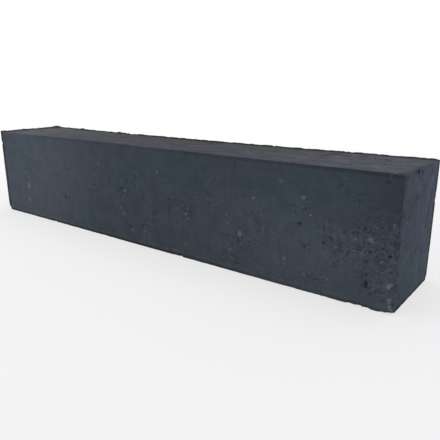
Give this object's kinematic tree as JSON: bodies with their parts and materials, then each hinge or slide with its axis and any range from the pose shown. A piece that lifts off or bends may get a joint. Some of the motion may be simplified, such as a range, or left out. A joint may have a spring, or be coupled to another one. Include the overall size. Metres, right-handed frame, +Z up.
{
  "type": "concrete stacking block",
  "caption": "Solid pressed concrete stacking block in anthracite, a long rectangular bar laid course on course for low garden walls, edging and steps.",
  "frame": {"origin": "centre of the bed face that the block lies on", "axes": "+X along the wall, +Y through the wall away from its face side, +Z up through the courses"},
  "size_m": [0.6, 0.1, 0.12],
  "materials": {
    "anthracite_concrete": "matte"
  },
  "bodies": {
    "root": {"block": "anthracite_concrete"}
  },
  "joints": []
}
